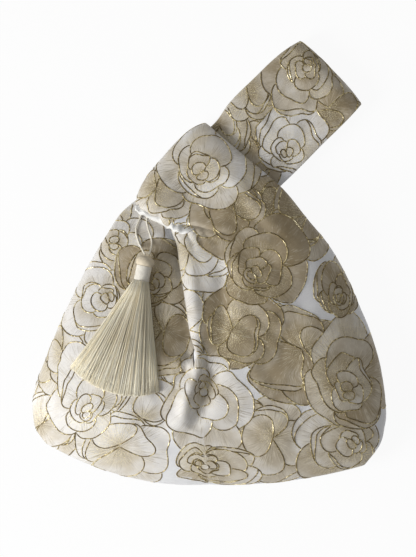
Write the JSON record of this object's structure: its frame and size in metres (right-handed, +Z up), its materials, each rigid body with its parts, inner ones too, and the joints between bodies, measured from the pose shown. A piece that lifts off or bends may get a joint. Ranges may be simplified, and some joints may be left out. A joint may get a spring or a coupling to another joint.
{
  "type": "knot bag",
  "caption": "Small knot bag of silver floral brocade with a long strap looped through a short strap, white satin lining and a cream silk tassel on a cord loop.",
  "frame": {"origin": "under the middle of the bag's outline, on the surface that it lies on", "axes": "+Z up, away from that surface; +Y from the bottom seam towards the straps; +X towards the side that carries the short strap"},
  "size_m": [0.2406, 0.3051, 0.0436],
  "materials": {
    "brocade": "silver-white satin brocade with gold thread outlines of roses",
    "lining": "white satin",
    "cord": "twisted cream silk cord",
    "tassel_thread": "cream silk thread with a soft sheen"
  },
  "bodies": {
    "root": {"outer_front": "brocade", "outer_back": "brocade", "lining_front": "lining", "lining_back": "lining", "hanging_cord": "cord", "tassel_head": "tassel_thread", "tassel_band": "tassel_thread", "tassel_skirt": "tassel_thread"}
  },
  "joints": []
}
